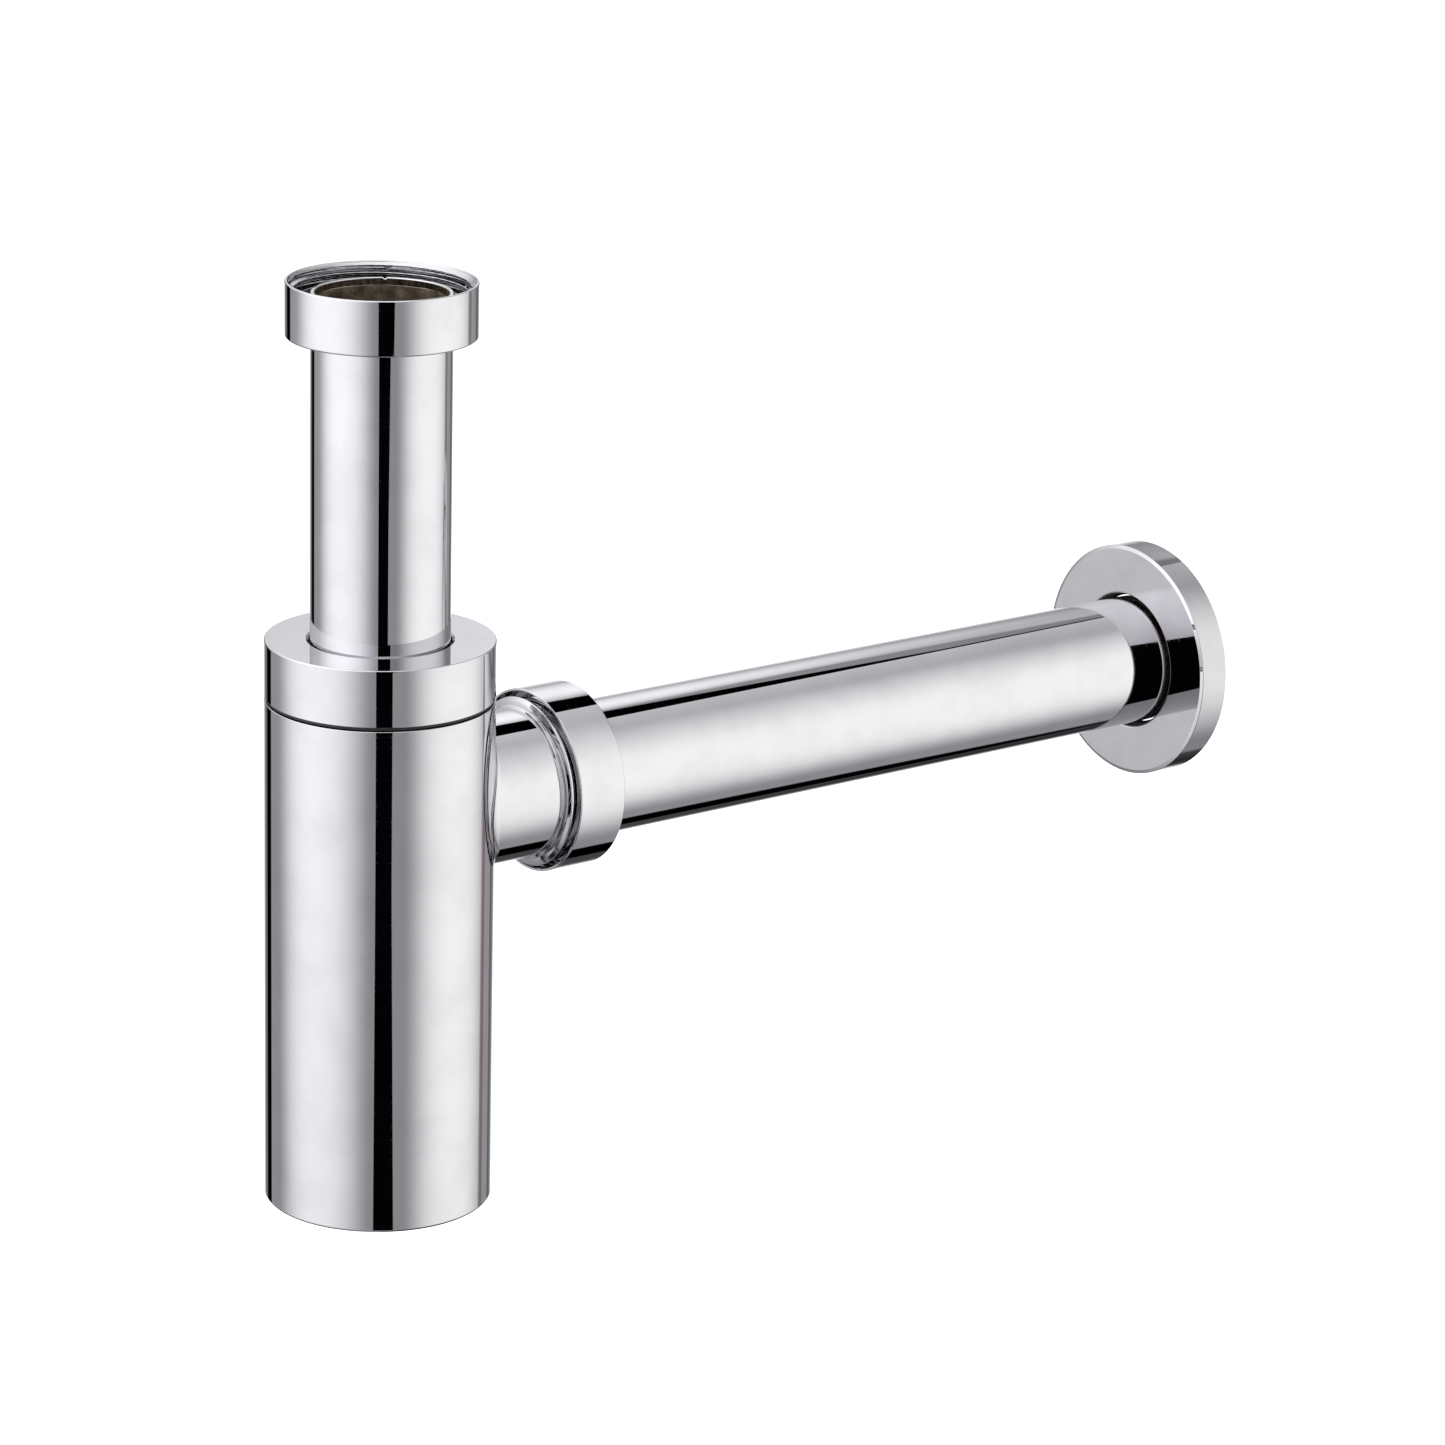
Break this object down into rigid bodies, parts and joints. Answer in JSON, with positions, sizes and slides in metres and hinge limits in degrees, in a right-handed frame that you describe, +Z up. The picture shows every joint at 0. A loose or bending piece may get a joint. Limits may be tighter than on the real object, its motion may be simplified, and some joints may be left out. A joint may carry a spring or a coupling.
{
  "type": "bottle trap",
  "caption": "Round chrome bottle trap for a washbasin: union-nut inlet tube dipping into a bottle, compression-jointed horizontal outlet tube and wall flange.",
  "frame": {"origin": "centre of the inlet washer's upper face, on the inlet tube's axis, where the basin waste seals", "axes": "+Z up along the inlet tube, +X along the outlet tube towards the wall"},
  "size_m": [0.2664, 0.0588, 0.2172],
  "materials": {
    "chrome_plate": "mirror-polished chrome plate on brass",
    "tube_chrome": "polished chrome plate outside, bare dull brass inside",
    "turned_brass": "turned brass, thinly plated on the thread",
    "black_rubber": "moulded black rubber, satin",
    "natural_nylon": "natural moulded nylon, semi-matt"
  },
  "bodies": {
    "inlet_tube": {"inlet_tube": "tube_chrome", "inlet_collar": "turned_brass", "inlet_washer": "black_rubber"},
    "inlet_thrust_ring": {"inlet_thrust_ring": "natural_nylon"},
    "inlet_nut": {"inlet_nut": "chrome_plate"},
    "cap_seal": {"cap_seal": "black_rubber"},
    "bottle": {"bottle_shell": "chrome_plate", "bottle_base": "chrome_plate", "neck_ring": "turned_brass", "body_gasket": "black_rubber", "outlet_branch": "chrome_plate", "outlet_seal": "black_rubber"},
    "cap_slip_ring": {"cap_slip_ring": "natural_nylon"},
    "cap": {"cap": "chrome_plate"},
    "outlet_slip_ring": {"outlet_slip_ring": "natural_nylon"},
    "outlet_nut": {"outlet_nut": "chrome_plate"},
    "outlet_tube": {"outlet_tube": "tube_chrome"},
    "wall_flange": {"wall_flange": "chrome_plate", "flange_grip_ring": "black_rubber"}
  },
  "joints": [
    {"name": "inlet_nut_drop", "type": "slide", "parent": "inlet_tube", "child": "inlet_thrust_ring", "axis": [0, 0, -1], "range_m": [0, 0.047]},
    {"name": "inlet_nut_turn", "type": "hinge", "parent": "inlet_thrust_ring", "child": "inlet_nut", "pos_m": [0, 0, 0], "axis": [0, 0, 1], "continuous": true},
    {"name": "height_adjust", "type": "slide", "parent": "inlet_tube", "child": "cap_seal", "axis": [0, 0, 1], "range_m": [-0.04, 0.013]},
    {"name": "outlet_swivel", "type": "hinge", "parent": "cap_seal", "child": "bottle", "pos_m": [0, 0, -0.0771], "axis": [0, 0, 1], "continuous": true},
    {"name": "cap_lift", "type": "slide", "parent": "bottle", "child": "cap_slip_ring", "axis": [0, 0, 1], "range_m": [0, 0.00934]},
    {"name": "cap_turn", "type": "hinge", "parent": "cap_slip_ring", "child": "cap", "pos_m": [0, 0, -0.0771], "axis": [0, 0, 1], "range_deg": [0, 1440]},
    {"name": "outlet_nut_travel", "type": "slide", "parent": "bottle", "child": "outlet_slip_ring", "axis": [1, 0, 0], "range_m": [0, 0.00934]},
    {"name": "outlet_nut_turn", "type": "hinge", "parent": "outlet_slip_ring", "child": "outlet_nut", "pos_m": [0.0539, 0, -0.1181], "axis": [1, 0, 0], "range_deg": [0, 1440]},
    {"name": "reach_adjust", "type": "slide", "parent": "bottle", "child": "outlet_tube", "axis": [1, 0, 0], "range_m": [-0.005, 0.009]},
    {"name": "flange_slide", "type": "slide", "parent": "outlet_tube", "child": "wall_flange", "axis": [-1, 0, 0], "range_m": [0, 0.15]}
  ],
  "couplings": [
    {"joint": "cap_lift", "follows": "cap_turn", "m_per_rad": 0.0003675},
    {"joint": "outlet_nut_travel", "follows": "outlet_nut_turn", "m_per_rad": 0.0003675}
  ]
}
